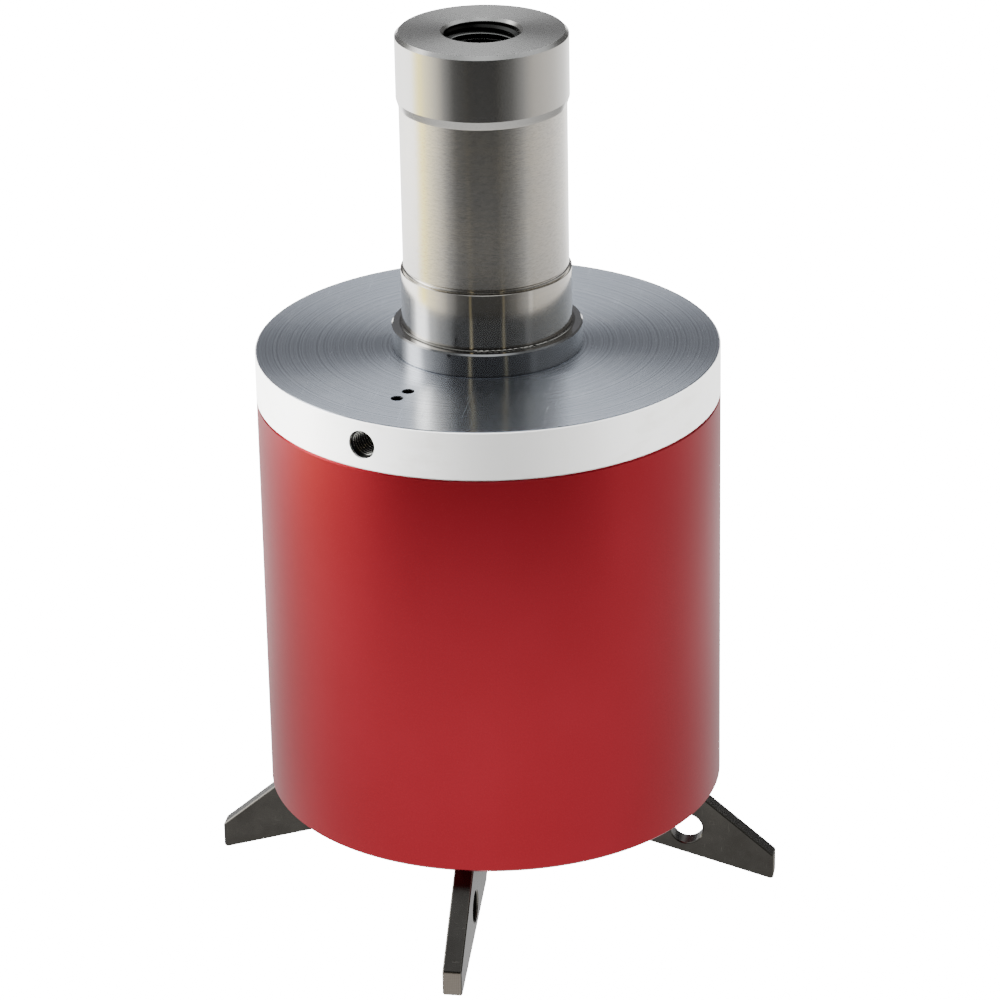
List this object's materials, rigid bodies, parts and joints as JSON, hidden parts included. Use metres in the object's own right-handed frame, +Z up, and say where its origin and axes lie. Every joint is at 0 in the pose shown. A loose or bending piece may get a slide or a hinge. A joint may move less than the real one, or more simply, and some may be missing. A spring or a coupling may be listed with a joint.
{
  "type": "pneumatic gripper",
  "caption": "Round pneumatic gripper with a cylindrical shank, an air-driven piston, and flat radial jaws that swing together through a rack and pinion.",
  "frame": {"origin": "on the axis, level with the collar's upper shoulder, where the tool holder seats", "axes": "+Z up along the shank, away from the jaws; the jaws lie along +X, -X, +Y and -Y"},
  "size_m": [0.1304, 0.1304, 0.2034],
  "materials": {
    "red_anodise": "satin anodised red",
    "cap_aluminium": "fine turned and satin",
    "shank_steel": "ground",
    "jaw_steel": "dark oxide with ground tips",
    "carrier_aluminium": "machined",
    "piston_aluminium": "turned",
    "rod_steel": "hardened and polished",
    "fastener_steel": "black oxide",
    "zinc_steel": "zinc plated",
    "bronze": "sintered bronze",
    "nitrile": "matt black",
    "polyurethane": "amber",
    "ptfe": "filled PTFE"
  },
  "bodies": {
    "housing": {"body_barrel": "red_anodise", "end_cap": "cap_aluminium", "shank": "shank_steel", "shank_nut": "zinc_steel", "shank_tab_washer": "zinc_steel", "shank_o_ring": "nitrile", "cap_o_ring": "nitrile", "passage_o_ring": "nitrile", "passage_plugs": "zinc_steel", "close_bumper": "polyurethane", "open_bumper": "polyurethane", "carrier_o_ring": "nitrile", "rod_bush": "bronze", "rod_seal": "nitrile", "seal_retaining_ring": "fastener_steel", "tie_screws": "fastener_steel", "locating_dowels": "rod_steel", "pivot_pins": "rod_steel", "pin_set_screws": "fastener_steel", "jaw_carrier": "carrier_aluminium"},
    "piston": {"piston": "piston_aluminium", "piston_seal": "nitrile", "piston_wear_ring": "ptfe", "piston_nut": "zinc_steel", "rack_rod": "rod_steel", "rod_o_ring": "nitrile"},
    "jaw_front": {"jaw_front": "jaw_steel", "jaw_bush_front": "bronze"},
    "jaw_right": {"jaw_right": "jaw_steel", "jaw_bush_right": "bronze"},
    "jaw_rear": {"jaw_rear": "jaw_steel", "jaw_bush_rear": "bronze"},
    "jaw_left": {"jaw_left": "jaw_steel", "jaw_bush_left": "bronze"}
  },
  "joints": [
    {"name": "piston_slide", "type": "slide", "parent": "housing", "child": "piston", "axis": [0, 0, 1], "range_m": [0, 0.0129]},
    {"name": "jaw_front_hinge", "type": "hinge", "parent": "housing", "child": "jaw_front", "pos_m": [0, -0.022, -0.1034], "axis": [1, 0, 0], "range_deg": [0, 74]},
    {"name": "jaw_right_hinge", "type": "hinge", "parent": "housing", "child": "jaw_right", "pos_m": [0.022, 0, -0.1034], "axis": [0, 1, 0], "range_deg": [0, 74]},
    {"name": "jaw_rear_hinge", "type": "hinge", "parent": "housing", "child": "jaw_rear", "pos_m": [0, 0.022, -0.1034], "axis": [-1, 0, 0], "range_deg": [0, 74]},
    {"name": "jaw_left_hinge", "type": "hinge", "parent": "housing", "child": "jaw_left", "pos_m": [-0.022, 0, -0.1034], "axis": [0, -1, 0], "range_deg": [0, 74]}
  ],
  "couplings": [
    {"joint": "jaw_front_hinge", "follows": "piston_slide", "rad_per_m": 100},
    {"joint": "jaw_right_hinge", "follows": "piston_slide", "rad_per_m": 100},
    {"joint": "jaw_rear_hinge", "follows": "piston_slide", "rad_per_m": 100},
    {"joint": "jaw_left_hinge", "follows": "piston_slide", "rad_per_m": 100}
  ]
}
